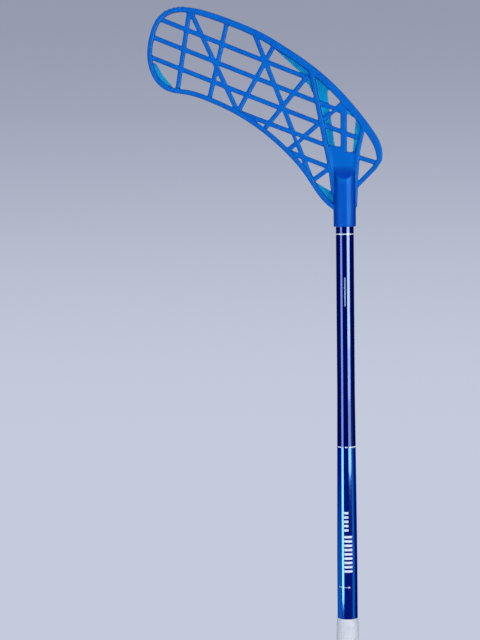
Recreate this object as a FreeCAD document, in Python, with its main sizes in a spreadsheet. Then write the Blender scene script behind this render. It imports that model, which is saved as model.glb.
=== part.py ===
"""Floorball stick: moulded lattice blade, tapered tube shaft, wound grip and butt cap.

The origin is the centre of the butt cap's flat end. +Z runs up the shaft to the blade,
the blade's tip points to -X and the hollow side of its hook faces -Y. All sizes are millimetres.
"""
import FreeCAD, Part
import math
import os

import Sketcher

doc = FreeCAD.newDocument("floorball_stick")

# Driving dimensions
SIZES = {
    "shaft_length": 870,
    "shaft_blade_diameter": 20.5,
    "shaft_grip_diameter": 23.5,
    "shaft_wall": 1.3,
    "shaft_straight_length": 238,
    "shaft_taper_length": 195,
    "socket_depth": 50,
    "neck_wall": 2.2,
    "glue_gap": 0.3,
    "neck_crown": 5.5,
    "chisel_length": 13,
    "blade_reach": 222.4,
    "heel_reach": 43,
    "blade_rise": 249.5,
    "hook_radius": 1400,
    "lattice_depth": 5,
    "rim_depth": 8,
    "web_depth": 1.6,
    "bar_width": 4.9,
    "rim_width": 5,
    "running_edge_width": 8,
    "spine_width": 7,
    "screw_height": 14,
    "screw_diameter": 3,
    "screw_length": 7,
    "screw_point_diameter": 1.2,
    "screw_point_length": 1.8,
    "screw_head_diameter": 6.2,
    "screw_head_height": 2.2,
    "screw_head_rim": 0.9,
    "screw_crown_diameter": 4.3,
    "screw_slot_length": 3.7,
    "screw_slot_width": 1,
    "screw_slot_depth": 1.1,
    "boss_diameter": 9,
    "boss_height": 1.2,
    "fit_clearance": 0.05,
    "grip_length": 365,
    "tape_width": 24,
    "tape_gap": 0.6,
    "tape_thickness": 1.4,
    "band_lip": 5,
    "band_slope": 2.5,
    "band_overlap": 10,
    "band_thickness": 0.5,
    "band_inset": 0.25,
    "cap_flange": 4,
    "cap_edge": 1.2,
    "cap_inset": 0.2,
    "cap_plug_length": 24,
    "cap_plug_wall": 2,
    "cap_plug_lead": 1.5,
    "cap_plug_ease": 0.75,
}

sheet = doc.addObject("Spreadsheet::Sheet", "Sizes")
for row, (alias, number) in enumerate(SIZES.items(), start=1):
    sheet.set(f"A{row}", alias.replace("_", " "))
    sheet.set(f"B{row}", str(number))
    sheet.setAlias(f"B{row}", alias)
doc.recompute()

# Radii and heights that several pieces share, as expressions on the sheet
SHAFT_BLADE_R = "(Sizes.shaft_blade_diameter / 2)"
SHAFT_GRIP_R = "(Sizes.shaft_grip_diameter / 2)"
BORE_R = f"({SHAFT_BLADE_R} + Sizes.glue_gap)"
NECK_R = f"({BORE_R} + Sizes.neck_wall)"
SHAFT_END_Z = "(Sizes.cap_flange + Sizes.shaft_length)"
MOUTH_Z = f"({SHAFT_END_Z} - Sizes.socket_depth)"
TAPE_IN_R = f"({SHAFT_GRIP_R} + Sizes.fit_clearance)"
TAPE_OUT_R = f"({TAPE_IN_R} + Sizes.tape_thickness)"
GRIP_TOP_Z = "(Sizes.cap_flange + Sizes.grip_length)"
TAPE_TOP_Z = f"({GRIP_TOP_Z} - Sizes.band_lip - Sizes.band_slope)"
BAND_FOOT_Z = f"({TAPE_TOP_Z} - Sizes.band_overlap)"
BAND_OUT_R = f"({TAPE_OUT_R} - Sizes.band_inset)"
BAND_SEAT_R = f"({BAND_OUT_R} - Sizes.band_thickness)"
SCREW_Z = f"({MOUTH_Z} + Sizes.screw_height)"
BOSS_Y = f"({NECK_R} + Sizes.boss_height)"
# Blanks for the blade are this deep along Y, so that they reach past the hooked layers
BLANK_DEPTH = "(2 * (Sizes.blade_reach ^ 2 / Sizes.hook_radius + Sizes.rim_depth))"
OVERRUN = 1.0
X_AXIS = FreeCAD.Vector(1, 0, 0)
Y_AXIS = FreeCAD.Vector(0, 1, 0)


def value(expression):
    return float(sheet.evalExpression(expression))


def bind(item, **expressions):
    for prop, expression in expressions.items():
        item.setExpression(prop.replace("__", "."), expression)
    return item


def origin_plane(body, role):
    return next(f for f in body.Origin.OriginFeatures if f.Role == role)


def turned(name, profile):
    """A body turned about Z from a closed profile of (radius, height) expressions."""
    body = doc.addObject("PartDesign::Body", name)
    sketch = body.newObject("Sketcher::SketchObject", name + "_profile")
    sketch.AttachmentSupport = (origin_plane(body, "XZ_Plane"), [""])
    sketch.MapMode = "FlatFace"
    points = [FreeCAD.Vector(value(r), value(z), 0) for r, z in profile]
    for i, point in enumerate(points):
        sketch.addGeometry(Part.LineSegment(point, points[(i + 1) % len(points)]))
    for i in range(len(points)):
        following = (i + 1) % len(points)
        sketch.addConstraint(Sketcher.Constraint("Coincident", i, 2, following, 1))
    for i, (r, z) in enumerate(profile):
        for kind, axis, expression in (("DistanceX", -2, r), ("DistanceY", -1, z)):
            if value(expression) == 0:
                sketch.addConstraint(Sketcher.Constraint("PointOnObject", i, 1, axis))
                continue
            number = sketch.addConstraint(
                Sketcher.Constraint(kind, -1, 1, i, 1, value(expression)))
            sketch.setExpression(f"Constraints[{number}]", expression)
    solid = body.newObject("PartDesign::Revolution", name + "_turn")
    solid.Profile = sketch
    solid.ReferenceAxis = (sketch, ["V_Axis"])
    solid.Angle = 360
    return body


def cylinder(name, radius, height, base_z="0"):
    rod = doc.addObject("Part::Cylinder", name)
    return bind(rod, Radius=radius, Height=height, Placement__Base__z=base_z)


def rod_along_y(name, radius, height, base_z):
    """A cylinder from the shaft's axis along +Y."""
    rod = doc.addObject("Part::Cylinder", name)
    rod.Placement.Rotation = FreeCAD.Rotation(X_AXIS, -90)
    return bind(rod, Radius=radius, Height=height, Placement__Base__z=base_z)


def cut(name, base, tool):
    result = doc.addObject("Part::Cut", name)
    result.Base = base
    result.Tool = tool
    return result


def common(name, *shapes):
    result = doc.addObject("Part::MultiCommon", name)
    result.Shapes = list(shapes)
    return result


def fuse(name, shapes):
    result = doc.addObject("Part::MultiFuse", name)
    result.Shapes = list(shapes)
    return result


def extrude(name, base, direction, depth):
    """A prism that reaches equally far to both sides of its flat outline."""
    prism = doc.addObject("Part::Extrusion", name)
    prism.Base = base
    prism.DirMode = "Custom"
    prism.Dir = direction
    prism.Solid = True
    prism.Symmetric = True
    return bind(prism, LengthFwd=depth)


def polygon(name, points):
    outline = doc.addObject("Part::Polygon", name)
    outline.Nodes = points
    outline.Close = True
    return outline


# Blade

# Outline and bars are drawn as shares of the blade: to the tip's side of the shaft's axis x is a
# share of blade_reach, to the heel's side of heel_reach, and heights are shares of blade_rise.
EDGE_CURVE = [
    (-0.030, 0.064), (-0.125, 0.136), (-0.201, 0.237), (-0.344, 0.380), (-0.456, 0.462),
    (-0.589, 0.535), (-0.700, 0.580), (-0.807, 0.610), (-0.883, 0.621), (-0.937, 0.646),
    (-0.987, 0.715), (-1.000, 0.802), (-0.983, 0.885), (-0.938, 0.962), (-0.860, 0.998),
    (-0.775, 0.999), (-0.699, 0.984), (-0.562, 0.942), (-0.420, 0.887), (-0.288, 0.816),
    (-0.168, 0.742), (-0.029, 0.632), (0.414, 0.521), (0.728, 0.448), (0.970, 0.372),
    (0.990, 0.300),
]
HEEL_CORNERS = [(0.835, 0.261), (0.353, 0.179), (0.326, 0.092), (0.200, 0.070)]

# Lattice bars, each from its first end to its second
LONG_BARS = [
    ((-0.935, 0.949), (-0.184, 0.681)),
    ((-0.985, 0.873), (0.000, 0.523)),
    ((-0.989, 0.780), (0.340, 0.407)),
    ((-0.535, 0.528), (-0.094, 0.374)),
    ((-0.280, 0.345), (-0.075, 0.272)),
    ((0.335, 0.320), (0.867, 0.290)),
]
CROSS_BARS = [
    ((-0.786, 0.982), (-0.851, 0.630)),
    ((-0.594, 0.937), (-0.690, 0.589)),
]
SLANTED_BARS = [
    ((-0.776, 0.977), (-0.545, 0.529)),
    ((-0.545, 0.529), (-0.352, 0.836)),
    ((-0.453, 0.877), (-0.168, 0.216)),
    ((-0.405, 0.456), (-0.189, 0.687)),
    ((-0.316, 0.333), (0.028, 0.575)),
    ((-0.157, 0.218), (-0.072, 0.272)),
]
# Ribs that carry the root of the blade into the neck
ROOT_RIBS = [
    ((-0.056, 0.150), (-0.070, 0.265)),
    ((-0.070, 0.262), (-0.166, 0.705)),
    ((0.285, 0.180), (0.363, 0.352)),
    ((0.363, 0.348), (0.545, 0.485)),
]
SPINE = ((-0.002, 0.330), (-0.001, 0.590))
# The solid tongue between the ribs, above the neck
TONGUE = [(-0.050, 0.180), (-0.090, 0.373), (-0.009, 0.366), (0.010, 0.343), (0.363, 0.340),
          (0.280, 0.180)]
# Thin webs that close some corners of the lattice
WEBS = {
    "tip": [(-0.957, 0.749), (-0.926, 0.697), (-0.877, 0.645), (-0.900, 0.600), (-1.020, 0.620),
            (-1.020, 0.760)],
    "edge": [(-0.351, 0.814), (-0.253, 0.733), (-0.180, 0.677), (-0.135, 0.730), (-0.288, 0.830)],
    "root_left": [(-0.166, 0.700), (-0.060, 0.660), (-0.085, 0.615), (-0.048, 0.370),
                  (-0.092, 0.361)],
    "root_right": [(0.050, 0.600), (0.060, 0.520), (0.319, 0.494), (0.222, 0.335), (0.363, 0.335),
                   (0.580, 0.489)],
    "rib_top": [(-0.205, 0.672), (-0.180, 0.651), (-0.153, 0.603), (-0.140, 0.603),
                (-0.160, 0.705), (-0.195, 0.705)],
    "neck": [(-0.153, 0.208), (-0.050, 0.152), (-0.050, 0.070), (-0.135, 0.140)],
}
# The running edge is thickest where the outline faces this way, an angle above +X
RUNNING_EDGE_ANGLE = math.radians(37)


def blade_point(across, up):
    reach = value("Sizes.blade_reach") if across < 0 else value("Sizes.heel_reach")
    return FreeCAD.Vector(across * reach, 0, value(MOUTH_Z) + up * value("Sizes.blade_rise"))


def bar(name, ends, width):
    """A straight blank between two points of the blade, width wide and as deep as the blanks."""
    start, end = (blade_point(*point) for point in ends)
    along = end - start
    box = doc.addObject("Part::Box", name)
    box.Length = along.Length
    bind(box, Width=BLANK_DEPTH, Height=width)
    turn = FreeCAD.Rotation(Y_AXIS, -math.degrees(math.atan2(along.z, along.x)))
    to_middle = turn.multVec(FreeCAD.Vector(0, value(BLANK_DEPTH) / 2, value(width) / 2))
    box.Placement = FreeCAD.Placement(start - to_middle, turn)
    return box


def hooked_layer(name, depth):
    """A layer of the blade's depth, bent to the hook about an axis in front of the blade."""
    shells = []
    for side, sign in (("outer", "+"), ("inner", "-")):
        shell = cylinder(f"{name}_{side}", f"Sizes.hook_radius {sign} {depth} / 2",
                         f"Sizes.blade_rise + 2 * {OVERRUN}", f"{MOUTH_Z} - {OVERRUN}")
        shells.append(bind(shell, Placement__Base__y="-Sizes.hook_radius"))
    return cut(name, *shells)


def outline_normals():
    """For each point of the outline, its place in the plan and the unit normal that points inward."""
    corners = [blade_point(*point) for point in EDGE_CURVE + HEEL_CORNERS]
    corners = [FreeCAD.Vector(corner.x, corner.z, 0) for corner in corners]
    curve = Part.BSplineCurve()
    curve.interpolate(corners[:len(EDGE_CURVE)])
    normals = []
    for i, corner in enumerate(corners):
        along = corners[(i + 1) % len(corners)] - corners[i - 1]
        if 0 < i < len(EDGE_CURVE) - 1:
            along = curve.tangent(curve.parameter(corner))[0]
        normals.append(FreeCAD.Vector(along.y, -along.x, 0).normalize())
    return list(zip(corners, normals))


def blade_plate(name, depth_into_rim, depth):
    """A blank inside the outline, drawn in from it by a share of the rim's width."""
    rim, edge = value("Sizes.rim_width"), value("Sizes.running_edge_width")
    facing = FreeCAD.Vector(math.cos(RUNNING_EDGE_ANGLE), math.sin(RUNNING_EDGE_ANGLE), 0)
    points = []
    for corner, inward in outline_normals():
        width = max(rim, -edge * inward.dot(facing))
        points.append(corner + inward * (width * depth_into_rim))
    body = doc.addObject("PartDesign::Body", f"{name}_plan")
    sketch = body.newObject("Sketcher::SketchObject", f"{name}_outline")
    sketch.AttachmentSupport = (origin_plane(body, "XZ_Plane"), [""])
    sketch.MapMode = "FlatFace"
    curve = Part.BSplineCurve()
    curve.interpolate(points[:len(EDGE_CURVE)])
    sketch.addGeometry(curve)
    corners = points[len(EDGE_CURVE) - 1:] + points[:1]
    for first, second in zip(corners, corners[1:]):
        sketch.addGeometry(Part.LineSegment(first, second))
    return extrude(name, sketch, Y_AXIS, depth)


def make_neck():
    """The neck: a round socket that narrows to the blade's depth between two slanted flats."""
    radius = value(NECK_R)
    half_depth = value("Sizes.lattice_depth") / 2
    mouth = value(MOUTH_Z)
    flat_start = value(f"{SHAFT_END_Z} + Sizes.neck_crown")
    slant = value("Sizes.chisel_length") / (radius - half_depth)
    side = [(radius + OVERRUN, mouth - OVERRUN),
            (radius + OVERRUN, flat_start - OVERRUN * slant),
            (half_depth, flat_start + value("Sizes.chisel_length"))]
    points = [FreeCAD.Vector(0, y, z) for y, z in side]
    points += [FreeCAD.Vector(0, -y, z) for y, z in reversed(side)]
    chisel = extrude("neck_chisel", polygon("neck_side", points), X_AXIS, f"4 * {NECK_R}")
    tube = cylinder("neck_tube", NECK_R,
                    "Sizes.socket_depth + Sizes.neck_crown + Sizes.chisel_length", MOUTH_Z)
    return common("neck", tube, chisel)


def make_blade():
    plate = blade_plate("outer_plate", 0.0, BLANK_DEPTH)
    opening = blade_plate("rim_opening", 1.0, f"{BLANK_DEPTH} + {OVERRUN}")
    # Bars and webs end in the middle of the rim
    trim = blade_plate("bar_trim", 0.5, f"{BLANK_DEPTH} + {OVERRUN}")

    bars = LONG_BARS + CROSS_BARS + SLANTED_BARS
    lattice = [bar(f"lattice_bar_{n}", ends, "Sizes.bar_width") for n, ends in enumerate(bars, 1)]
    lattice.append(bar("root_spine", SPINE, "Sizes.spine_width"))
    tongue = polygon("tongue_outline", [blade_point(*point) for point in TONGUE])
    lattice.append(extrude("tongue_blank", tongue, Y_AXIS, BLANK_DEPTH))
    ribs = [bar(f"root_rib_{n}", ends, "Sizes.bar_width") for n, ends in enumerate(ROOT_RIBS, 1)]
    webs = []
    for name, corners in WEBS.items():
        outline = polygon(f"web_{name}_outline", [blade_point(*point) for point in corners])
        webs.append(extrude(f"web_{name}", outline, Y_AXIS, BLANK_DEPTH))

    rim_layer = hooked_layer("rim_layer", "Sizes.rim_depth")
    lattice_layer = hooked_layer("lattice_layer", "Sizes.lattice_depth")
    web_layer = hooked_layer("web_layer", "Sizes.web_depth")
    layers = [
        common("rim", cut("rim_blank", plate, opening), rim_layer),
        common("ribs", fuse("rib_blanks", ribs), trim, rim_layer),
        common("lattice", fuse("lattice_blanks", lattice), trim, lattice_layer),
        common("webs", fuse("web_blanks", webs), trim, web_layer),
    ]
    boss = rod_along_y("screw_boss", "Sizes.boss_diameter / 2", BOSS_Y, SCREW_Z)
    moulding = fuse("blade_moulding", [make_neck(), boss, *layers])
    bore = cylinder("socket_bore", BORE_R, f"Sizes.socket_depth + Sizes.glue_gap + {OVERRUN}",
                    f"{MOUTH_Z} - {OVERRUN}")
    hole = rod_along_y("neck_screw_hole", "Sizes.screw_diameter / 2 + Sizes.fit_clearance",
                       f"{BOSS_Y} + {OVERRUN}", SCREW_Z)
    return cut("blade", moulding, fuse("blade_cuts", [bore, hole]))


# Shaft, glue and screw


def screw_hole(name):
    return rod_along_y(name, "Sizes.screw_diameter / 2 + Sizes.fit_clearance", NECK_R, SCREW_Z)


def make_shaft():
    taper_top = f"({SHAFT_END_Z} - Sizes.shaft_straight_length)"
    taper_foot = f"({taper_top} - Sizes.shaft_taper_length)"
    outside = [(SHAFT_GRIP_R, "Sizes.cap_flange"), (SHAFT_GRIP_R, taper_foot),
               (SHAFT_BLADE_R, taper_top), (SHAFT_BLADE_R, SHAFT_END_Z)]
    inside = [(f"{radius} - Sizes.shaft_wall", height) for radius, height in reversed(outside)]
    return cut("shaft_tube", turned("shaft_blank", outside + inside), screw_hole("shaft_screw_hole"))


def make_glue():
    sleeve = turned("glue_blank", [(SHAFT_BLADE_R, MOUTH_Z), (BORE_R, MOUTH_Z),
                                   (BORE_R, SHAFT_END_Z), (SHAFT_BLADE_R, SHAFT_END_Z)])
    return cut("neck_glue", sleeve, screw_hole("glue_screw_hole"))


def make_screw():
    """A pan-head screw with a crossed recess, its axis along Y and its head outward."""
    shank, head = "Sizes.screw_diameter / 2", "Sizes.screw_head_diameter / 2"
    seat, top = "Sizes.screw_length", "(Sizes.screw_length + Sizes.screw_head_height)"
    blank = turned("screw_blank", [
        ("0", "0"), ("Sizes.screw_point_diameter / 2", "0"), (shank, "Sizes.screw_point_length"),
        (shank, seat), (head, seat), (head, f"{seat} + Sizes.screw_head_rim"),
        ("Sizes.screw_crown_diameter / 2", top), ("0", top)])
    slots = []
    for name, across, along in (("x", "Length", "Width"), ("y", "Width", "Length")):
        slot = doc.addObject("Part::Box", f"screw_slot_{name}")
        bind(slot, **{across: "Sizes.screw_slot_length", along: "Sizes.screw_slot_width",
                      "Height": f"Sizes.screw_slot_depth + {OVERRUN}"})
        middle = {"Length": "Placement__Base__x", "Width": "Placement__Base__y"}
        bind(slot, **{middle[across]: "-Sizes.screw_slot_length / 2",
                      middle[along]: "-Sizes.screw_slot_width / 2",
                      "Placement__Base__z": f"{top} - Sizes.screw_slot_depth"})
        slots.append(slot)
    screw = cut("blade_screw", blank, fuse("screw_recess", slots))
    screw.Placement.Rotation = FreeCAD.Rotation(X_AXIS, -90)
    return bind(screw, Placement__Base__y=f"{BOSS_Y} - Sizes.screw_length",
                Placement__Base__z=SCREW_Z)


# Grip and butt cap


def make_tape():
    """One strip wound round the shaft, cut square at both ends and pressed thin under the band."""
    sleeve = turned("tape_blank", [
        (TAPE_IN_R, "Sizes.cap_flange"), (TAPE_OUT_R, "Sizes.cap_flange"),
        (TAPE_OUT_R, TAPE_TOP_Z), (TAPE_IN_R, TAPE_TOP_Z)])
    pitch = "(Sizes.tape_width + Sizes.tape_gap)"
    seam_start = f"Sizes.cap_flange - {pitch}"
    seam_line = doc.addObject("Part::Helix", "tape_seam_line")
    # The pitch comes first, because the line is drawn anew at each change
    seam_line.Pitch = value(pitch)
    seam_line.SegmentLength = 1
    bind(seam_line, Pitch=pitch, Height=f"{TAPE_TOP_Z} - Sizes.cap_flange + 2 * {pitch}",
         Radius=TAPE_OUT_R, Placement__Base__z=seam_start)
    low = value(seam_start) - value("Sizes.tape_gap") / 2
    high = low + value("Sizes.tape_gap")
    near, far = value(TAPE_IN_R) - OVERRUN, value(TAPE_OUT_R) + OVERRUN
    section = polygon("tape_seam_section", [
        FreeCAD.Vector(near, 0, low), FreeCAD.Vector(far, 0, low),
        FreeCAD.Vector(far, 0, high), FreeCAD.Vector(near, 0, high)])
    seam = doc.addObject("Part::Sweep", "tape_seam")
    seam.Sections = [section]
    seam.Spine = seam_line
    seam.Solid = True
    seam.Frenet = True
    pressed_r = f"({BAND_SEAT_R} - Sizes.fit_clearance)"
    pressed_z = f"({BAND_FOOT_Z} - Sizes.fit_clearance)"
    outside_r, above_z = f"({TAPE_OUT_R} + {OVERRUN})", f"({TAPE_TOP_Z} + {OVERRUN})"
    pressing = turned("tape_pressing", [(pressed_r, pressed_z), (outside_r, pressed_z),
                                        (outside_r, above_z), (pressed_r, above_z)])
    wound = cut("tape_wound", sleeve, seam)
    tape = cut("grip_tape", wound, pressing)
    for step in (wound, tape):
        step.Refine = False
    return tape


def make_band():
    """A thin band that steps down from the wound grip onto the shaft."""
    step_z = f"({TAPE_TOP_Z} + Sizes.fit_clearance)"
    lip_z = f"({GRIP_TOP_Z} - Sizes.band_lip)"
    lip_r = f"({TAPE_IN_R} + Sizes.band_thickness)"
    return turned("finishing_band", [
        (BAND_SEAT_R, BAND_FOOT_Z), (BAND_OUT_R, BAND_FOOT_Z), (BAND_OUT_R, step_z), (lip_r, lip_z),
        (lip_r, GRIP_TOP_Z), (TAPE_IN_R, GRIP_TOP_Z), (TAPE_IN_R, step_z), (BAND_SEAT_R, step_z)])


def make_cap():
    """A plug that fits the tube, under a flange nearly as wide as the grip."""
    flange_r = f"({TAPE_OUT_R} - Sizes.cap_inset)"
    plug_r = f"({SHAFT_GRIP_R} - Sizes.shaft_wall - Sizes.fit_clearance)"
    plug_top = "(Sizes.cap_flange + Sizes.cap_plug_length)"
    hollow_r = f"({plug_r} - Sizes.cap_plug_wall)"
    return turned("butt_cap", [
        ("0", "0"), (f"{flange_r} - Sizes.cap_edge", "0"), (flange_r, "Sizes.cap_edge"),
        (flange_r, "Sizes.cap_flange"), (plug_r, "Sizes.cap_flange"),
        (plug_r, f"{plug_top} - Sizes.cap_plug_lead"),
        (f"{plug_r} - Sizes.cap_plug_ease", plug_top), (hollow_r, plug_top),
        (hollow_r, "Sizes.cap_flange"), ("0", "Sizes.cap_flange")])


def least_gap_between_turns():
    """The least distance between neighbouring turns of the wound strip, on points of its edges."""
    radius = value(TAPE_OUT_R)
    pitch = value("Sizes.tape_width + Sizes.tape_gap")
    gap = value("Sizes.tape_gap")
    steps = 720

    def on_edge(step, lift):
        angle = 2 * math.pi * step / steps
        return FreeCAD.Vector(radius * math.cos(angle), radius * math.sin(angle),
                              pitch * step / steps + lift)

    start = on_edge(0, 0)
    near = range(-steps // 8, steps // 8)
    return min((on_edge(step, gap) - start).Length for step in near)


pieces = [make_blade(), make_shaft(), make_glue(), make_screw(), make_tape(), make_band(), make_cap()]
doc.recompute()

for item in doc.Objects:
    if "Invalid" in item.State or "Error" in item.State:
        raise RuntimeError(f"{item.Label} failed: {item.State}")
for piece in pieces:
    shape = piece.Shape
    if shape.isNull() or not shape.isValid() or len(shape.Solids) != 1:
        raise RuntimeError(f"{piece.Label} is not one valid solid")
    box = shape.BoundBox
    print(f"{piece.Label}: {shape.Volume / 1000:.2f} cm3, X {box.XMin:.1f} {box.XMax:.1f}, "
          f"Y {box.YMin:.1f} {box.YMax:.1f}, Z {box.ZMin:.1f} {box.ZMax:.1f}")
print(f"least gap between the turns of grip_tape: {least_gap_between_turns():.2f} mm")

os.makedirs("parts", exist_ok=True)
for piece in pieces:
    piece.Shape.exportStep(f"parts/{piece.Label}.step")
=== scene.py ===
"""Looks of the floorball stick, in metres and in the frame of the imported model.

The stick stands on its butt cap at the origin, its blade points to -X and the hollow side of
the blade's hook faces -Y, towards the camera.
"""
import math

import bmesh
import bpy
from mathutils import Matrix, Vector
from mathutils.bvhtree import BVHTree


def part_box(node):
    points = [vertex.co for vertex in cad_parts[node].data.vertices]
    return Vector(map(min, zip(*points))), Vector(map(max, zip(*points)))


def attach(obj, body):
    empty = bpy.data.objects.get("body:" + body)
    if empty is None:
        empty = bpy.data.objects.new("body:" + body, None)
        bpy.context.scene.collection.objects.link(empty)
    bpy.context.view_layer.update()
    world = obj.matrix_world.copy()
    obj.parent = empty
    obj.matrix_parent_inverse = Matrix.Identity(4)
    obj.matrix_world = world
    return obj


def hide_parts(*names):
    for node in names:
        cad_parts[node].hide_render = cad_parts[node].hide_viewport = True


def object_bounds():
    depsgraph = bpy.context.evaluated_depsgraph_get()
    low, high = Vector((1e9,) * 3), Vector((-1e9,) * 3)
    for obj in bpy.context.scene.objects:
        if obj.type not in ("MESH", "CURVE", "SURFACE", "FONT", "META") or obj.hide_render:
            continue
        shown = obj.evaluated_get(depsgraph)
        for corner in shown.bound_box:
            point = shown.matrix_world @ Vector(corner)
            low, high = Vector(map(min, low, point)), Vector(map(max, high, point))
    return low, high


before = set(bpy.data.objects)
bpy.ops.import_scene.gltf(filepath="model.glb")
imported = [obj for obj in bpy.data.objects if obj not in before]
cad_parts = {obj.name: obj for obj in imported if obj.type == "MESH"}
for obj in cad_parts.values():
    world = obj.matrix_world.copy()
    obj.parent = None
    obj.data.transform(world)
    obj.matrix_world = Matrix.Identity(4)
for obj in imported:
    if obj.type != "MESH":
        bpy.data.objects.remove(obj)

cad_low, cad_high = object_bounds()
MM = 0.001

# Places read from the frame
glue_low, glue_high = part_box("neck_glue")
shaft_low, shaft_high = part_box("shaft_tube")
tape_low, tape_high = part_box("grip_tape")
band_low, band_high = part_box("finishing_band")
cap_low, cap_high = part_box("butt_cap")
mouth_z = glue_low.z
shaft_grip_r = shaft_high.x
tape_r = tape_high.x
band_r = band_high.x
cap_r = cap_high.x

# Sizes that the frame's boxes don't show
HOOK_RADIUS = 1400 * MM
RIM_DEPTH = 8 * MM
LATTICE_HALF_DEPTH = 2.5 * MM
NECK_WALL = 2.2 * MM
NECK_CROWN = 5.5 * MM
NECK_FLAT = 13 * MM
SHAFT_BLADE_R = 10.25 * MM
SHAFT_WALL = 1.3 * MM
SHAFT_STRAIGHT = 238 * MM
SHAFT_TAPER = 195 * MM
TAPE_IN_R = 11.8 * MM
TAPE_WIDTH = 24.0 * MM
TAPE_GAP = 0.6 * MM
BAND_THICKNESS = 0.5 * MM
BAND_LIP = 5.0 * MM
BAND_SLOPE = 2.5 * MM
BAND_PRESS = 0.8 * MM
CAP_FLANGE = 4.0 * MM
CAP_PLUG_R = 10.4 * MM
CAP_PLUG_WALL = 2.0 * MM

# Fineness of the meshes
ROUND_STEPS = 96
CORNER_STEPS = 4
SHARP_ANGLE = math.radians(50)
WELD = 0.001 * MM


# Mesh helpers

def merged_copy(node):
    """A bmesh of a CAD node, with its loose triangles joined."""
    shape = bmesh.new()
    shape.from_mesh(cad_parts[node].data)
    bmesh.ops.remove_doubles(shape, verts=shape.verts, dist=WELD)
    return shape


def mesh_from(shape, name):
    """The mesh of a finished bmesh."""
    mesh = bpy.data.meshes.new(name)
    shape.to_mesh(mesh)
    shape.free()
    return mesh


def smooth_mesh_from(shape, name):
    mesh = mesh_from(shape, name)
    mesh.polygons.foreach_set("use_smooth", [True] * len(mesh.polygons))
    return mesh


def in_scene(name, data):
    """A new object in the scene."""
    item = bpy.data.objects.new(name, data)
    bpy.context.scene.collection.objects.link(item)
    return item


def finish_piece(shape, name, material, node):
    """The finished piece: it rides on the stick and stands for a CAD node."""
    mesh = smooth_mesh_from(shape, name)
    mesh.set_sharp_from_angle(angle=SHARP_ANGLE)
    mesh.materials.append(material)
    piece = in_scene(name, mesh)
    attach(piece, "root")
    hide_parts(node)


def outline(shape, corners, closed=True, steps=CORNER_STEPS):
    """An outline in the XZ plane from (x, z, rounding) corners."""
    points = [shape.verts.new((x, 0, z)) for x, z, rounding in corners]
    following = points[1:] + points[:1] if closed else points[1:]
    for first, second in zip(points, following):
        shape.edges.new((first, second))
    for point, (x, z, rounding) in zip(points, corners):
        if rounding:
            bmesh.ops.bevel(shape, geom=[point], offset=rounding, offset_type="OFFSET", segments=steps,
                            profile=0.5, affect="VERTICES", material=-1)


def spin_round(shape, weld):
    """Spins an outline once round Z."""
    bmesh.ops.spin(shape, geom=shape.verts[:] + shape.edges[:], cent=(0, 0, 0), axis=(0, 0, 1),
                   angle=math.tau, steps=ROUND_STEPS, use_merge=True)
    bmesh.ops.remove_doubles(shape, verts=shape.verts, dist=weld)
    bmesh.ops.recalc_face_normals(shape, faces=shape.faces)


def turned(corners):
    """A ring turned about Z from an outline of (radius, height, rounding) corners."""
    shape = bmesh.new()
    outline(shape, corners)
    spin_round(shape, WELD)
    return shape


def cut_level(shape, height, clear_below=False, clear_above=False):
    """A level cut through a shape. Where one side is cleared, the cut is closed."""
    everything = shape.verts[:] + shape.edges[:] + shape.faces[:]
    cut = bmesh.ops.bisect_plane(shape, geom=everything, plane_co=(0, 0, height), plane_no=(0, 0, 1),
                                 clear_inner=clear_below, clear_outer=clear_above)
    if clear_below or clear_above:
        rim = [item for item in cut["geom_cut"] if isinstance(item, bmesh.types.BMEdge)]
        bmesh.ops.holes_fill(shape, edges=rim, sides=0)


# Node helpers

def new_material(name):
    """A material, with its tree and its shader."""
    material = bpy.data.materials.new(name)
    material.use_nodes = True
    return material, material.node_tree, material.node_tree.nodes["Principled BSDF"]


def feed(tree, socket, source):
    """A link from a node's socket, or a plain value."""
    if isinstance(source, bpy.types.NodeSocket):
        tree.links.new(source, socket)
    else:
        socket.default_value = source


def dress(tree, node, **sources):
    """Feeds a node's inputs by their names: an underscore stands for a space."""
    for label, source in sources.items():
        feed(tree, node.inputs[label.replace("_", " ")], source)


def sums(tree, operation, *sources):
    node = tree.nodes.new("ShaderNodeMath")
    node.operation = operation
    for socket, source in zip(node.inputs, sources):
        feed(tree, socket, source)
    return node.outputs["Value"]


def product(tree, first, second):
    return sums(tree, "MULTIPLY", first, second)


def length(tree, first, second):
    """The length of the slanted side over two square ones."""
    squares = [product(tree, side, side) for side in (first, second)]
    return sums(tree, "SQRT", sums(tree, "ADD", *squares))


def mixed(tree, share, first, second):
    """A colour between two colours."""
    node = tree.nodes.new("ShaderNodeMix")
    node.data_type = "RGBA"
    dress(tree, node, Factor=share, A=first, B=second)
    return node.outputs["Result"]


def ramp(tree, source, low, high, to_low=0.0, to_high=1.0):
    """A smooth step between two values of the source."""
    node = tree.nodes.new("ShaderNodeMapRange")
    node.interpolation_type = "SMOOTHSTEP"
    dress(tree, node, Value=source, From_Min=low, From_Max=high, To_Min=to_low, To_Max=to_high)
    return node.outputs["Result"]


def falling(tree, source, low, high):
    """A smooth step from 1 down to 0."""
    return ramp(tree, source, low, high, 1.0, 0.0)


def object_place(tree):
    return tree.nodes.new("ShaderNodeTexCoord").outputs["Object"]


def split(tree, vector):
    """The three parts of a vector."""
    node = tree.nodes.new("ShaderNodeSeparateXYZ")
    tree.links.new(vector, node.inputs["Vector"])
    return node.outputs[:]


def bearing_of(tree, x, y):
    """The angle round from the camera's side."""
    return sums(tree, "ARCTAN2", x, product(tree, y, -1.0))


def noise(tree, place, scale, detail=2.0):
    node = tree.nodes.new("ShaderNodeTexNoise")
    dress(tree, node, Vector=place, Scale=scale, Detail=detail)
    return node.outputs["Fac"]


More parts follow.
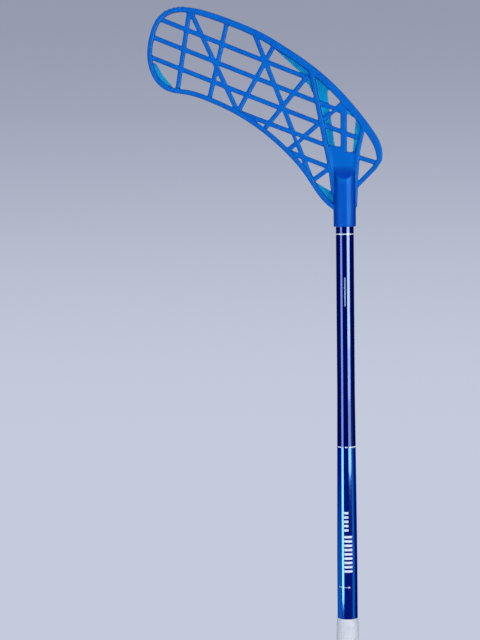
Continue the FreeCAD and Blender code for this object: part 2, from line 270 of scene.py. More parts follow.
def point_number(tree, layer):
    """The number that the mesh holds at each point."""
    node = tree.nodes.new("ShaderNodeAttribute")
    node.attribute_name = layer
    return node.outputs["Fac"]


def bump(tree, height, distance):
    node = tree.nodes.new("ShaderNodeBump")
    dress(tree, node, Height=height, Distance=distance)
    return node.outputs["Normal"]


def new_group(name, inputs, outputs):
    """An empty node group, with its inputs and outputs."""
    tree = bpy.data.node_groups.new(name, "ShaderNodeTree")
    for label, kind in inputs:
        tree.interface.new_socket(label, in_out="INPUT", socket_type=kind)
    for label, kind in outputs:
        tree.interface.new_socket(label, in_out="OUTPUT", socket_type=kind)
    entry = tree.nodes.new("NodeGroupInput")
    leave = tree.nodes.new("NodeGroupOutput")
    return tree, entry.outputs, leave.inputs


def stretch_group():
    """A mask that is 1 where a place lies between two ends, with soft edges."""
    tree, given, result = new_group(
        "stretch",
        [(label, "NodeSocketFloat") for label in ("Place", "Low", "High", "Softness")],
        [("Mask", "NodeSocketFloat")])
    edges = []
    for end, step in (("Low", ramp), ("High", falling)):
        first = sums(tree, "SUBTRACT", given[end], given["Softness"])
        last = sums(tree, "ADD", given[end], given["Softness"])
        edges.append(step(tree, given["Place"], first, last))
    tree.links.new(product(tree, *edges), result["Mask"])
    return tree


def moulding_group():
    """Slow drift of tone and fine grain, as moulded plastic and rubber have."""
    tree, given, result = new_group(
        "moulding",
        [("Colour", "NodeSocketColor"), ("Deep Colour", "NodeSocketColor"),
         ("Drift Scale", "NodeSocketFloat"), ("Grain Scale", "NodeSocketFloat"),
         ("Gloss", "NodeSocketFloat"), ("Gloss Drift", "NodeSocketFloat")],
        [("Colour", "NodeSocketColor"), ("Roughness", "NodeSocketFloat"), ("Height", "NodeSocketFloat")])
    place = object_place(tree)
    drift = noise(tree, place, given["Drift Scale"])
    grain = noise(tree, place, given["Grain Scale"], detail=3.0)
    tree.links.new(mixed(tree, drift, given["Colour"], given["Deep Colour"]), result["Colour"])
    spread = product(tree, grain, given["Gloss Drift"])
    tree.links.new(sums(tree, "ADD", given["Gloss"], spread), result["Roughness"])
    tree.links.new(grain, result["Height"])
    return tree


STRETCH = stretch_group()
MOULDING = moulding_group()


def placed(tree, group, **sources):
    """A group in a material, with its inputs fed."""
    node = tree.nodes.new("ShaderNodeGroup")
    node.node_tree = group
    dress(tree, node, **sources)
    return node.outputs


def stretch(tree, place, low, high, softness):
    return placed(tree, STRETCH, Place=place, Low=low, High=high, Softness=softness)["Mask"]


# Material of the blade

BLADE_BLUE = (0.0, 0.150, 0.585, 1)
BLADE_DEEP = (0.0, 0.100, 0.53, 1)
# Painted shade: a deeper blue on the side walls and rounded edges, which face away from front and back
EDGE_SHADE_BLUE = (0.0, 0.032, 0.25, 1)
# Painted light: the thin webs are paler and greener, as light shining through thin plastic; they drift at
# random between these two tones
WEB_SHINE_PALE = (0.0, 0.32, 0.60, 1)
WEB_SHINE_DEEP = (0.0, 0.19, 0.46, 1)
OVER_TUBE_BLUE = (0.0, 0.060, 0.48, 1)
OVER_TUBE_SHARE = 0.6
# Painted shade on the slanted flats at the neck's top, darker towards their foot
FLAT_SHADE_BLUE = (0.0, 0.042, 0.46, 1)
FLAT_SHADE_SHARE = 0.85
GLOSS_TINT = (0.14, 0.6, 1.0, 1)
WEB_DRIFT_SCALE = 45.0
WEB_DRIFT_FROM, WEB_DRIFT_TO = 0.3, 0.7

# Layers of the blade's mesh: how much a point belongs to a thin web, and how squarely it faces front or
# back, with the values between which the painted shade of the edges and side walls goes from full to none
WEB_LAYER = "thin_web"
FACING_LAYER = "broadside"
EDGE_SHADE_FULL, EDGE_SHADE_GONE = 0.45, 0.985

# How softly the dark tube shows through the neck at its sides and at its end, and how the painted shade
# on the neck's slanted flats fades in
TUBE_SIDE_FADE = 1.5 * MM
TUBE_END_FADE = 4 * MM
ON_FLAT, OFF_FLAT = 0.5 * MM, 1.4 * MM


def tube_behind_and_flat_shade(tree):
    """Where the shaft lies behind the moulding, and the painted shade on the neck's slanted flats."""
    neck_r = glue_high.x + NECK_WALL
    x, y, z = split(tree, object_place(tree))
    beside = falling(tree, length(tree, x, y), neck_r, neck_r + TUBE_SIDE_FADE)
    below_end = falling(tree, z, shaft_high.z - TUBE_END_FADE, shaft_high.z + TUBE_END_FADE)
    flat_foot = shaft_high.z + NECK_CROWN
    flat_slope = (neck_r - LATTICE_HALF_DEPTH) / NECK_FLAT
    up_flat = product(tree, sums(tree, "SUBTRACT", z, flat_foot), flat_slope)
    flat_y = sums(tree, "SUBTRACT", neck_r, up_flat)
    off_flat = sums(tree, "ABSOLUTE", sums(tree, "SUBTRACT", sums(tree, "ABSOLUTE", y), flat_y))
    # Painted shade on the slanted flats, fading out towards their top
    on_flat = product(tree, falling(tree, off_flat, ON_FLAT, OFF_FLAT),
                      falling(tree, z, flat_foot + TUBE_END_FADE, flat_foot + NECK_FLAT))
    return product(tree, beside, below_end), product(tree, beside, on_flat)


def blade_plastic():
    """Translucent blue moulding: paler and greener in its thin webs with painted light shining through,
    painted shade on its edges and on the neck's slanted flats, and deeper over the dark tube.
    """
    material, tree, shader = new_material("blade_plastic")
    tone = placed(tree, MOULDING, Colour=BLADE_BLUE, Deep_Colour=BLADE_DEEP, Drift_Scale=70.0,
                  Grain_Scale=900.0, Gloss=0.26, Gloss_Drift=0.12)
    # Painted shade on the side walls and rounded edges, by how little they face front or back
    edge = falling(tree, point_number(tree, FACING_LAYER), EDGE_SHADE_FULL, EDGE_SHADE_GONE)
    colour = mixed(tree, edge, tone["Colour"], EDGE_SHADE_BLUE)
    # Painted light shining through the thin webs, in two tones that drift at random
    drift = noise(tree, object_place(tree), WEB_DRIFT_SCALE)
    web = mixed(tree, ramp(tree, drift, WEB_DRIFT_FROM, WEB_DRIFT_TO), WEB_SHINE_PALE, WEB_SHINE_DEEP)
    colour = mixed(tree, point_number(tree, WEB_LAYER), colour, web)
    over_tube, flat_shade = tube_behind_and_flat_shade(tree)
    colour = mixed(tree, product(tree, over_tube, OVER_TUBE_SHARE), colour, OVER_TUBE_BLUE)
    # Painted shade on the neck's slanted flats
    colour = mixed(tree, product(tree, flat_shade, FLAT_SHADE_SHARE), colour, FLAT_SHADE_BLUE)
    dress(tree, shader, Base_Color=colour, Roughness=tone["Roughness"],
          Normal=bump(tree, tone["Height"], 0.008 * MM),
          Specular_IOR_Level=0.4, Specular_Tint=GLOSS_TINT,
          Subsurface_Weight=0.25, Subsurface_Radius=(0.2, 0.5, 1.0), Subsurface_Scale=3 * MM)
    return material


# Material of the shaft

LACQUER_NAVY = (0.001, 0.04, 0.20, 1)
LACQUER_AZURE = (0.07, 0.26, 0.60, 1)
LACQUER_EDGE = (0.02, 0.10, 0.50, 1)
LACQUER_ROUGHNESS = 0.08
PRINT_WHITE = (0.78, 0.81, 0.90, 1)
PRINT_ROUGHNESS = 0.4
# The clear coat thins out from here to here, as the surface slants away
COAT_FULL, COAT_GONE = 0.35, 0.65

# Printed marks: top and foot below the neck's mouth in mm, angles round from the camera's side in
# degrees, and how strong the print is
CAMERA_SIDE = -3.65
MID_RING = 254.0
MID_RING_HALF = 0.7
MID_RING_TOP = MID_RING - MID_RING_HALF
MID_RING_FOOT = MID_RING + MID_RING_HALF
COLOUR_CHANGE = 2.0
MARKS = [
    (7.8, 9.0, -190, 190, 1.0),
    (58.0, 91.0, -6, 2, 0.6),
    (MID_RING_TOP, MID_RING_FOOT, -68, -35, 1.0),
    (MID_RING_TOP, MID_RING_FOOT, -9, 7, 1.0),
    (MID_RING_TOP, MID_RING_FOOT, 20, 180, 1.0),
    (417.2, 418.0, -57, 14, 0.7),
    (416.8, 418.4, 5, 14, 1.0),
]
PRINT_BLUR = 0.15 * MM
PRINT_BLUR_ANGLE = math.radians(0.8)
# Ladders of plain bars: top and foot, the angles between which the bars run, their pitch, and the
# share of it that a bar takes
LADDERS = [(329.0, 352.0, -17, 8), (357.0, 400.0, -17, 30)]
LADDER_PITCH = 5.03
LADDER_BAR = 0.55
LADDER_BLUR = 0.03


def shaft_lacquer():
    """Mirror-gloss metallic lacquer, navy above the middle ring, azure below, with plain white marks."""
    material, tree, shader = new_material("shaft_lacquer")
    x, y, z = split(tree, object_place(tree))
    angle = sums(tree, "SUBTRACT", bearing_of(tree, x, y), math.radians(CAMERA_SIDE))
    below = sums(tree, "SUBTRACT", mouth_z, z)
    lower = ramp(tree, below, (MID_RING - COLOUR_CHANGE) * MM, (MID_RING + COLOUR_CHANGE) * MM)
    lacquer = mixed(tree, lower, LACQUER_NAVY, LACQUER_AZURE)

    def print_area(top, foot, start, end):
        along = stretch(tree, below, top * MM, foot * MM, PRINT_BLUR)
        around = stretch(tree, angle, math.radians(start), math.radians(end), PRINT_BLUR_ANGLE)
        return product(tree, along, around)

    printed = 0.0
    for top, foot, start, end, strength in MARKS:
        mark = product(tree, print_area(top, foot, start, end), strength)
        printed = sums(tree, "MAXIMUM", printed, mark)
    for top, foot, start, end in LADDERS:
        rungs = sums(tree, "DIVIDE", sums(tree, "SUBTRACT", below, top * MM), LADDER_PITCH * MM)
        rung = stretch(tree, sums(tree, "FRACT", rungs), 0.0, LADDER_BAR, LADDER_BLUR)
        mark = product(tree, print_area(top, foot, start, end), rung)
        printed = sums(tree, "MAXIMUM", printed, mark)

    slant = tree.nodes.new("ShaderNodeLayerWeight").outputs["Facing"]
    dress(tree, shader, Base_Color=mixed(tree, printed, lacquer, PRINT_WHITE),
          Metallic=sums(tree, "SUBTRACT", 1.0, printed),
          Roughness=ramp(tree, printed, 0.0, 1.0, LACQUER_ROUGHNESS, PRINT_ROUGHNESS),
          Specular_Tint=LACQUER_EDGE, Coat_Weight=falling(tree, slant, COAT_FULL, COAT_GONE),
          Coat_IOR=1.7, Coat_Roughness=0.03)
    return material


# Materials of the grip, the band, the cap, the screw and the glue

# Punched holes: their pitch in mm, and their rim as shares of the pitch
HOLE_PITCH = 3.0
HOLE_FLOOR, HOLE_RIM = 0.09, 0.15
HOLE_GREY = (0.42, 0.44, 0.49, 1)
HOLE_DEPTH = 0.3 * MM
GRAIN_SHARE = 0.15
WINDING_MAP = "winding"


def grip_soft():
    """White strip, punched with rows of small holes that follow the winding."""
    material, tree, shader = new_material("grip_soft")
    tone = placed(tree, MOULDING, Colour=(0.70, 0.715, 0.765, 1), Deep_Colour=(0.645, 0.66, 0.71, 1),
                  Drift_Scale=45.0, Grain_Scale=1400.0, Gloss=0.5, Gloss_Drift=0.2)
    winding = tree.nodes.new("ShaderNodeUVMap")
    winding.uv_map = WINDING_MAP
    from_middle = []
    for place in split(tree, winding.outputs["UV"])[:2]:
        cell = sums(tree, "FRACT", sums(tree, "DIVIDE", place, HOLE_PITCH))
        from_middle.append(sums(tree, "SUBTRACT", cell, 0.5))
    hole = falling(tree, length(tree, *from_middle), HOLE_FLOOR, HOLE_RIM)
    height = sums(tree, "SUBTRACT", product(tree, tone["Height"], GRAIN_SHARE), hole)
    dress(tree, shader, Base_Color=mixed(tree, hole, tone["Colour"], HOLE_GREY),
          Roughness=tone["Roughness"], Normal=bump(tree, height, HOLE_DEPTH))
    return material


def grained(name, colour, deep, drift_scale, grain_scale, gloss, grain_depth, metallic=0.0):
    """A surface whose tone drifts and whose gloss follows its fine grain."""
    material, tree, shader = new_material(name)
    tone = placed(tree, MOULDING, Colour=colour, Deep_Colour=deep, Drift_Scale=drift_scale,
                  Grain_Scale=grain_scale, Gloss=gloss, Gloss_Drift=0.2)
    dress(tree, shader, Base_Color=tone["Colour"], Roughness=tone["Roughness"], Metallic=metallic,
          Normal=bump(tree, tone["Height"], grain_depth))
    return material


def band_soft():
    return grained("band_soft", colour=(0.65, 0.67, 0.725, 1), deep=(0.60, 0.62, 0.675, 1),
                   drift_scale=45.0, grain_scale=700.0, gloss=0.42, grain_depth=0.05 * MM)


def cap_plastic():
    return grained("cap_plastic", colour=(0.65, 0.67, 0.72, 1), deep=(0.59, 0.61, 0.66, 1),
                   drift_scale=45.0, grain_scale=900.0, gloss=0.42, grain_depth=0.05 * MM)


def screw_steel():
    return grained("screw_steel", colour=(0.58, 0.58, 0.60, 1), deep=(0.50, 0.50, 0.53, 1),
                   drift_scale=400.0, grain_scale=3000.0, gloss=0.22, grain_depth=0.02 * MM, metallic=1.0)


def glue():
    return grained("glue", colour=(0.72, 0.66, 0.50, 1), deep=(0.60, 0.54, 0.40, 1),
                   drift_scale=300.0, grain_scale=1500.0, gloss=0.35, grain_depth=0.05 * MM)


# Blade

VOXEL = 0.7 * MM
SOFTENING_ROUNDS = 8
SOFTENING_SHARE = 0.5
# Makes up for what the softening takes off the bars
SKIN_GAIN = 0.17 * MM
KEPT_FACES = 0.62
# A point belongs to a thin web if it lies this near the middle and faces front or back this squarely
WEB_HALF_DEPTH = 1.3 * MM
WEB_FACING_FROM, WEB_FACING_TO = 0.4, 0.8
# Rounds in which the painted shade of the edges spreads to the points beside them
EDGE_SHADE_ROUNDS = 2
# Small ridges across the rim near the tip, by their distance from the shaft's axis in mm
TIP_RIDGES = [203, 198, 193, 188, 183]
RIDGE_RADIUS = 1.1 * MM
RIDGE_HEIGHT = 0.95 * MM
RIDGE_LENGTH = RIM_DEPTH - 1.5 * MM
RIDGE_SIDES = 16
# Small windows where three bars cross, by their corners on the flat blade in mm: across from the
# shaft's axis, and up
SMALL_WINDOWS = [
    [(-55.9, 929.0), (-49.4, 926.5), (-53.4, 922.5)],
    [(-16.7, 959.6), (-12.3, 957.0), (-16.7, 954.6)],
]


def unrolled(point):
    """A point of the hooked blade, with the hook rolled out flat."""
    turn = math.atan2(point.x, point.y + HOOK_RADIUS)
    return Vector((turn * HOOK_RADIUS, math.hypot(point.x, point.y + HOOK_RADIUS) - HOOK_RADIUS, point.z))


def hooked(point):
    """A point of the flat blade, bent to the hook."""
    turn = point.x / HOOK_RADIUS
    reach = point.y + HOOK_RADIUS
    return Vector((reach * math.sin(turn), reach * math.cos(turn) - HOOK_RADIUS, point.z))


def add_tip_ridges(shape):
    """Rods about half sunk into the rim, each where a plumb line meets it."""
    flat_blade = BVHTree.FromBMesh(shape)
    for across in TIP_RIDGES:
        above = Vector((-across * MM, 0, cad_high.z + RIM_DEPTH))
        spot, facing = flat_blade.ray_cast(above, (0, 0, -1))[:2]
        middle = spot - facing * (RIDGE_RADIUS - RIDGE_HEIGHT)
        bmesh.ops.create_cone(
            shape, cap_ends=True, segments=RIDGE_SIDES, radius1=RIDGE_RADIUS, radius2=RIDGE_RADIUS,
            depth=RIDGE_LENGTH,
            matrix=Matrix.Translation(middle) @ Matrix.Rotation(math.pi / 2, 4, "X"))


def window_cutter():
    """Wedges that cut the small windows right through the flat blade."""
    shape = bmesh.new()
    for corners in SMALL_WINDOWS:
        points = [shape.verts.new((across * MM, -RIM_DEPTH, up * MM)) for across, up in corners]
        grown = bmesh.ops.extrude_face_region(shape, geom=[shape.faces.new(points)])["geom"]
        back = [item for item in grown if isinstance(item, bmesh.types.BMVert)]
        bmesh.ops.translate(shape, verts=back, vec=(0, 2 * RIM_DEPTH, 0))
    bmesh.ops.recalc_face_normals(shape, faces=shape.faces)
    return in_scene("window_cutter", mesh_from(shape, "window_cutter"))


def softened_skin(blank, cutter):
    """A bmesh of the flat blade, with its windows cut and every edge and corner rounded."""
    windows = blank.modifiers.new("windows", "BOOLEAN")
    windows.object = cutter
    windows.operation = "DIFFERENCE"
    windows.solver = "EXACT"
    windows.use_self = True
    skin = blank.modifiers.new("skin", "REMESH")
    skin.mode = "VOXEL"
    skin.voxel_size = VOXEL
    soften = blank.modifiers.new("soften", "SMOOTH")
    soften.factor = SOFTENING_SHARE
    soften.iterations = SOFTENING_ROUNDS
    thinned = blank.modifiers.new("thinned", "DECIMATE")
    thinned.ratio = KEPT_FACES
    finished = blank.evaluated_get(bpy.context.evaluated_depsgraph_get())
    shape = bmesh.new()
    shape.from_mesh(finished.to_mesh())
    return shape


def spread_tone(shape, layer):
    """Evens out a layer's numbers between points that lie side by side."""
    for count in range(EDGE_SHADE_ROUNDS):
        spread = []
        for vert in shape.verts:
            beside = [edge.other_vert(vert)[layer] for edge in vert.link_edges]
            spread.append((vert[layer] + sum(beside) / len(beside)) / 2)
        for vert, number in zip(shape.verts, spread):
            vert[layer] = number


def make_blade():
    """The moulding: it is rolled out flat, given its skin and bent to the hook again."""
    shape = merged_copy("blade")
    for vert in shape.verts:
        vert.co = unrolled(vert.co)
    add_tip_ridges(shape)
    blank = in_scene("blade_blank", mesh_from(shape, "blade_blank"))
    cutter = window_cutter()
    shape = softened_skin(blank, cutter)
    bpy.data.objects.remove(cutter)
    bpy.data.objects.remove(blank)

    shape.normal_update()
    thin = shape.verts.layers.float.new(WEB_LAYER)
    broadside = shape.verts.layers.float.new(FACING_LAYER)
    for vert in shape.verts:
        vert[broadside] = abs(vert.normal.y)
        if abs(vert.co.y) < WEB_HALF_DEPTH:
            share = (vert[broadside] - WEB_FACING_FROM) / (WEB_FACING_TO - WEB_FACING_FROM)
            vert[thin] = min(max(share, 0.0), 1.0)
        vert.co = hooked(vert.co + SKIN_GAIN * vert.normal)
    spread_tone(shape, broadside)
    finish_piece(shape, "blade_moulding", blade_plastic(), "blade")


# Shaft

def make_shaft():
    """The tube: straight at the blade, then tapered, then straight under the grip."""
    taper_top = shaft_high.z - SHAFT_STRAIGHT
    taper_foot = taper_top - SHAFT_TAPER
    outside = [(shaft_grip_r, shaft_low.z), (shaft_grip_r, taper_foot),
               (SHAFT_BLADE_R, taper_top), (SHAFT_BLADE_R, shaft_high.z)]
    inside = [(radius - SHAFT_WALL, height) for radius, height in reversed(outside)]
    shape = turned([(radius, height, 0.0) for radius, height in outside + inside])
    finish_piece(shape, "shaft_lacquered", shaft_lacquer(), "shaft_tube")


# Grip

TAPE_PITCH = TAPE_WIDTH + TAPE_GAP
# Middle of the first turn, which starts below the grip and is cut off at its foot
first_turn_z = tape_low.z - 1.5 * TAPE_PITCH
# What is left of the strip under a seam, how its edges are rolled, and the flat share of its width
SEAM_SKIN = 0.4 * MM
EDGE_ROUNDING = 0.6 * MM
EDGE_DROP = 0.1 * MM
FLAT_SHARE = 0.6
# Height above the band's foot from which the strip is pressed
PRESS_START = 0.1 * MM


def wound_strip():
    """One strip with rolled edges, wound turn against turn."""
    half = TAPE_WIDTH / 2
    half_pitch = TAPE_PITCH / 2
    seam_r = TAPE_IN_R + SEAM_SKIN
    edge_r = tape_r - EDGE_DROP
    shape = bmesh.new()
    outline(shape, [
        (TAPE_IN_R, first_turn_z - half_pitch, 0.0), (TAPE_IN_R, first_turn_z + half_pitch, 0.0),
        (seam_r, first_turn_z + half_pitch, 0.0),
        (edge_r, first_turn_z + half, EDGE_ROUNDING),
        (tape_r, first_turn_z + FLAT_SHARE * half, 0.0),
        (tape_r, first_turn_z - FLAT_SHARE * half, 0.0),
        (edge_r, first_turn_z - half, EDGE_ROUNDING),
        (seam_r, first_turn_z - half_pitch, 0.0)])
    turns = math.ceil((tape_high.z - first_turn_z) / TAPE_PITCH) + 1
    bmesh.ops.spin(shape, geom=shape.verts[:] + shape.edges[:], cent=(0, 0, 0), axis=(0, 0, 1),
                   angle=turns * math.tau, steps=turns * ROUND_STEPS,
                   dvec=(0, 0, TAPE_PITCH / ROUND_STEPS), use_merge=False)
    return shape


def press_under_band(shape):
    """Presses the strip thin where the band covers it."""
    cut_level(shape, band_low.z)
    pressed_r = tape_r - BAND_PRESS
    for vert in shape.verts:
        radius = math.hypot(vert.co.x, vert.co.y)
        if vert.co.z > band_low.z + PRESS_START and radius > pressed_r:
            vert.co.xy = vert.co.xy * (pressed_r / radius)


def map_winding(shape):
    """A UV map in mm: along the strip, and across it from its middle."""
    winding = shape.loops.layers.uv.new(WINDING_MAP)
    for face in shape.faces:
        middle = face.calc_center_median()
        middle_turn = math.atan2(middle.y, middle.x) / math.tau
        turn = round((middle.z - first_turn_z) / TAPE_PITCH - middle_turn)
        for loop in face.loops:
            share = math.atan2(loop.vert.co.y, loop.vert.co.x) / math.tau
            share += round(middle_turn - share)
            along = (turn + share) * math.tau * tape_r
            across = loop.vert.co.z - first_turn_z - (turn + share) * TAPE_PITCH
            loop[winding].uv = (along / MM, across / MM)


def make_tape():
    """The wound strip, from the butt cap up to the finishing band."""
    shape = wound_strip()
    cut_level(shape, tape_low.z, clear_below=True)
    cut_level(shape, tape_high.z, clear_above=True)
    press_under_band(shape)
    bmesh.ops.recalc_face_normals(shape, faces=shape.faces)
    map_winding(shape)
    finish_piece(shape, "grip_winding", grip_soft(), "grip_tape")


# Finishing band

BEAD_RISE = 0.25 * MM
BEAD_HALF_FOOT = 1.0 * MM
BEAD_HALF_TOP = 0.5 * MM
BEAD_ROUNDING = 0.3 * MM
BEAD_FOOT_ROUNDING = 0.2 * MM
LOW_BEAD_UP = 2.4 * MM
HIGH_BEAD_DOWN = 1.2 * MM
SHOULDER_ROUNDING = 0.6 * MM
LIP_FOOT_ROUNDING = 0.8 * MM
LIP_ROUNDING = 0.35 * MM


def make_band():
    """A rolled band with a bead at its foot and at its shoulder."""
    shoulder = band_high.z - BAND_LIP - BAND_SLOPE
    seat_r = band_r - BAND_THICKNESS
    lip_r = TAPE_IN_R + BAND_THICKNESS
    bead_r = band_r + BEAD_RISE
    profile = [(seat_r, band_low.z, 0.0), (band_r, band_low.z, BEAD_FOOT_ROUNDING)]
    for middle in (band_low.z + LOW_BEAD_UP, shoulder - HIGH_BEAD_DOWN):
        profile += [(band_r, middle - BEAD_HALF_FOOT, BEAD_FOOT_ROUNDING),
                    (bead_r, middle - BEAD_HALF_TOP, BEAD_ROUNDING),
                    (bead_r, middle + BEAD_HALF_TOP, BEAD_ROUNDING),
                    (band_r, middle + BEAD_HALF_FOOT, BEAD_FOOT_ROUNDING)]
    profile += [(band_r, shoulder, SHOULDER_ROUNDING), (lip_r, shoulder + BAND_SLOPE, LIP_FOOT_ROUNDING),
                (lip_r, band_high.z, LIP_ROUNDING), (TAPE_IN_R, band_high.z, 0.0),
                (TAPE_IN_R, shoulder, 0.0), (seat_r, shoulder, 0.0)]
    finish_piece(turned(profile), "finishing_band_rolled", band_soft(), "finishing_band")


# Butt cap

GROOVE_IN_R = 7.6 * MM
GROOVE_OUT_R = 8.6 * MM
GROOVE_DEPTH = 0.5 * MM
GROOVE_ROUNDING = 0.15 * MM
CAP_EDGE_ROUNDING = 1.3 * MM
FLANGE_ROUNDING = 0.4 * MM
PLUG_ROUNDING = 1.0 * MM
HOLLOW_ROUNDING = 0.3 * MM


def make_cap():
    """The flange with a soft edge and a ring groove, under the hollow plug in the tube."""
    hollow_r = CAP_PLUG_R - CAP_PLUG_WALL
    groove_top = cap_low.z + GROOVE_DEPTH
    profile = [
        (0.0, cap_low.z, 0.0),
        (GROOVE_IN_R, cap_low.z, GROOVE_ROUNDING), (GROOVE_IN_R, groove_top, GROOVE_ROUNDING),
        (GROOVE_OUT_R, groove_top, GROOVE_ROUNDING), (GROOVE_OUT_R, cap_low.z, GROOVE_ROUNDING),
        (cap_r, cap_low.z, CAP_EDGE_ROUNDING), (cap_r, CAP_FLANGE, FLANGE_ROUNDING),
        (CAP_PLUG_R, CAP_FLANGE, 0.0), (CAP_PLUG_R, cap_high.z, PLUG_ROUNDING),
        (hollow_r, cap_high.z, HOLLOW_ROUNDING), (hollow_r, CAP_FLANGE, HOLLOW_ROUNDING),
        (0.0, CAP_FLANGE, 0.0)]
    finish_piece(turned(profile), "butt_cap_moulded", cap_plastic(), "butt_cap")


def finish_solids():
    """The screw and the glue keep their solids, with their own materials."""
    for node, material in (("blade_screw", screw_steel()), ("neck_glue", glue())):
        for material_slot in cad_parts[node].material_slots:
            material_slot.material = material


make_blade()
make_shaft()
make_tape()
make_band()
make_cap()
finish_solids()


# Paper stage, in metres from the stick

PAPER_RADIUS = 5.0
PAPER_TOP = 4.5
PAPER_COVE = 1.6
COVE_STEPS = 24
# The matt floor fades out between two distances, and the backdrop darkens as it climbs
FLOOR_PALE = (0.76, 0.79, 0.87, 1)
FLOOR_FULL, FLOOR_GONE = 0.7, 1.25
BACKDROP_LOW = (0.552, 0.597, 0.723, 1)
BACKDROP_HIGH = (0.300, 0.323, 0.420, 1)
BACKDROP_CLIMB = 1.75
# What the gloss mirrors is a painted reflection, a glow on the paper that only glossy and transmission
# rays see: a dim room, its floor brighter at the left and the right, and the paper behind, where 1 is
# straight behind. Bearings are in degrees round from the camera's side
PAINTED_ROOM_DIM = (0.006, 0.02, 0.26, 1)
PAINTED_ROOM_FLOOR = (0.02, 0.33, 0.72, 1)
BEHIND_FROM, BEHIND_TO = 0.75, 0.98
LEFT_FLOOR_FULL, LEFT_FLOOR_GONE = 1.5, 3.6
LEFT_BEARING_FULL, LEFT_BEARING_GONE = -105, -45
RIGHT_FLOOR_FULL, RIGHT_FLOOR_GONE = 3.2, 4.6
RIGHT_BEARING_LOW, RIGHT_BEARING_HIGH, RIGHT_BEARING_SOFT = 58, 86, 8


def painted_room_reflection(tree, x, y, reach):
    """The painted reflection of a dim blue room, with its brighter floor at both sides."""
    bearing = bearing_of(tree, x, y)
    left_floor = product(
        tree, falling(tree, reach, LEFT_FLOOR_FULL, LEFT_FLOOR_GONE),
        falling(tree, bearing, math.radians(LEFT_BEARING_FULL), math.radians(LEFT_BEARING_GONE)))
    right_floor = product(
        tree, falling(tree, reach, RIGHT_FLOOR_FULL, RIGHT_FLOOR_GONE),
        stretch(tree, bearing, math.radians(RIGHT_BEARING_LOW), math.radians(RIGHT_BEARING_HIGH),
                math.radians(RIGHT_BEARING_SOFT)))
    return mixed(tree, sums(tree, "MAXIMUM", left_floor, right_floor), PAINTED_ROOM_DIM, PAINTED_ROOM_FLOOR)


def studio_paper():
    """Pale paper: a matt floor round the stick, rising to a plain backdrop.

    What shines mirrors a painted reflection: a dim blue room, with a brighter floor at both sides, and
    the paper behind.
    """
    material, tree, shader = new_material("studio_paper")
    dress(tree, shader, Base_Color=FLOOR_PALE, Roughness=0.9)
    x, y, z = split(tree, object_place(tree))
    reach = length(tree, x, y)
    rays = tree.nodes.new("ShaderNodeLightPath").outputs
    backdrop = mixed(tree, ramp(tree, z, 0.0, BACKDROP_CLIMB), BACKDROP_LOW, BACKDROP_HIGH)
    behind = ramp(tree, sums(tree, "DIVIDE", y, reach), BEHIND_FROM, BEHIND_TO)
    lit = sums(tree, "MAXIMUM", behind, rays["Is Camera Ray"])
    backdrop = mixed(tree, lit, painted_room_reflection(tree, x, y, reach), backdrop)
    seen = sums(tree, "MAXIMUM", rays["Is Camera Ray"], rays["Is Glossy Ray"])
    seen = sums(tree, "MAXIMUM", seen, rays["Is Transmission Ray"])
    glow = tree.nodes.new("ShaderNodeEmission")
    tree.links.new(backdrop, glow.inputs["Color"])
    blend = tree.nodes.new("ShaderNodeMixShader")
    tree.links.new(product(tree, seen, ramp(tree, reach, FLOOR_FULL, FLOOR_GONE)), blend.inputs["Fac"])
    tree.links.new(shader.outputs["BSDF"], blend.inputs[1])
    tree.links.new(glow.outputs["Emission"], blend.inputs[2])
    tree.links.new(blend.outputs["Shader"], tree.nodes["Material Output"].inputs["Surface"])
    return material


def make_stage():
    """A round floor whose rim curves up into a wall all round."""
    shape = bmesh.new()
    outline(shape, [(0.0, 0.0, 0.0), (PAPER_RADIUS, 0.0, PAPER_COVE), (PAPER_RADIUS, PAPER_TOP, 0.0)],
            closed=False, steps=COVE_STEPS)
    spin_round(shape, MM)
    mesh = smooth_mesh_from(shape, "studio_paper")
    mesh.materials.append(studio_paper())
    floor = in_scene("studio_paper", mesh)


# Light

ROOM_GREY = (0.17, 0.175, 0.2, 1)
# The right strip box, dimmer towards its foot: the heights of its parts, and their radiance
RIGHT_STRIP = [
    ("right_strip_foot", 0.22, 0.40, 2.5),
    ("right_strip_middle", 0.40, 0.52, 4.4),
    ("right_strip_top", 0.52, 1.50, 6.5),
]
# Three of the broad lamps are alike, and stand at the same distance
SQUARE_BOX = {"distance": 2.6, "width": 1.6, "tall": 1.6}


def lamp(name, bearing, distance, height, width, tall, radiance, aim, tint=(1, 1, 1)):
    """A rectangular lamp at a bearing round from the camera's side, aimed at a height on the stick."""
    light = bpy.data.lights.new(name, "AREA")
    light.shape = "RECTANGLE"
    light.size = width
    light.size_y = tall
    light.energy = radiance * math.pi * width * tall
    light.color = tint
    stand = in_scene(name, light)
    turn = math.radians(bearing)
    stand.location = (distance * math.sin(turn), -distance * math.cos(turn), height)
    to_stick = Vector((0, 0, aim)) - stand.location
    stand.rotation_euler = to_stick.to_track_quat("-Z", "Y").to_euler()
    stand.visible_camera = False
    return stand


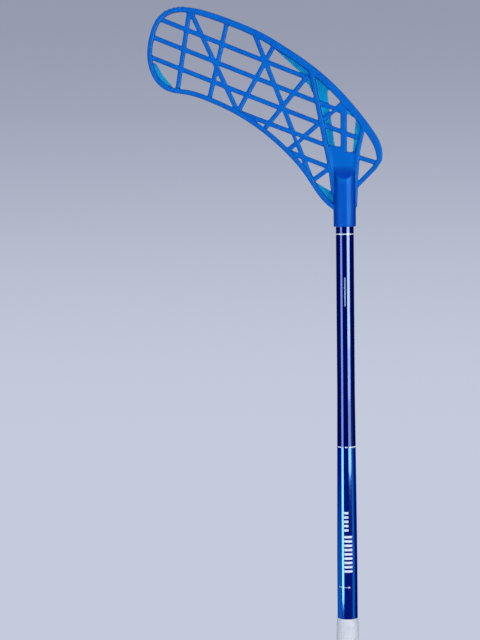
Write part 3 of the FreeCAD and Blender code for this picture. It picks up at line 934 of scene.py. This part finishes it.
def make_strips():
    """Strip boxes for the lacquer to mirror, which give no diffuse light."""
    strips = [lamp("left_strip", bearing=-54, distance=1.0, height=0.49, width=0.43, tall=0.68,
                   radiance=3.7, aim=0.49, tint=(0.64, 0.83, 1))]
    for name, low, high, radiance in RIGHT_STRIP:
        middle = (low + high) / 2
        strips.append(lamp(name, bearing=39, distance=2.0, height=middle, width=1.24, tall=high - low,
                           radiance=radiance, aim=middle))
    for strip in strips:
        strip.visible_diffuse = False


def make_broad_light():
    """Broad soft light on the plastic and the floor, which nothing mirrors."""
    broad_lamps = [
        lamp("front_light", bearing=-20, height=1.2, radiance=4.5, aim=0.8, **SQUARE_BOX),
        lamp("side_light", bearing=60, height=1.3, radiance=2.4, aim=0.8, **SQUARE_BOX),
        lamp("back_light", bearing=170, height=1.6, radiance=2.6, aim=0.7, **SQUARE_BOX),
        lamp("low_light", bearing=5, distance=1.5, height=0.1, width=1.4, tall=0.5,
             radiance=2.0, aim=0.95),
        lamp("top_light", bearing=0, distance=0.01, height=3.4, width=3.0, tall=3.0,
             radiance=0.8, aim=0.0),
    ]
    for broad in broad_lamps:
        broad.visible_glossy = False


def make_room():
    world = bpy.data.worlds.new("studio_room")
    world.use_nodes = True
    world.node_tree.nodes["Background"].inputs["Color"].default_value = ROOM_GREY
    bpy.context.scene.world = world


# Camera: its eye and how it is held, solved from the photograph's frame of 480 by 640 pixels

EYE = Vector((-0.1216, -1.908, 0.8515))
LOOK_DOWN = math.radians(4.0)
ROLL = math.radians(-0.69)
LENS = 93.32
SENSOR = 36.0


def make_camera():
    lens = bpy.data.cameras.new("camera")
    lens.sensor_fit = "VERTICAL"
    lens.sensor_height = SENSOR
    lens.lens = LENS
    camera = in_scene("camera", lens)
    forward = Vector((0, math.cos(LOOK_DOWN), -math.sin(LOOK_DOWN)))
    level = Vector((1, 0, 0))
    upright = level.cross(forward)
    right = math.cos(ROLL) * level + math.sin(ROLL) * upright
    above = math.cos(ROLL) * upright - math.sin(ROLL) * level
    camera.matrix_world = Matrix.Translation(EYE) @ Matrix((right, above, -forward)).transposed().to_4x4()
    bpy.context.scene.camera = camera


make_stage()
make_room()
make_strips()
make_broad_light()
make_camera()
bpy.context.scene.view_settings.view_transform = "Standard"
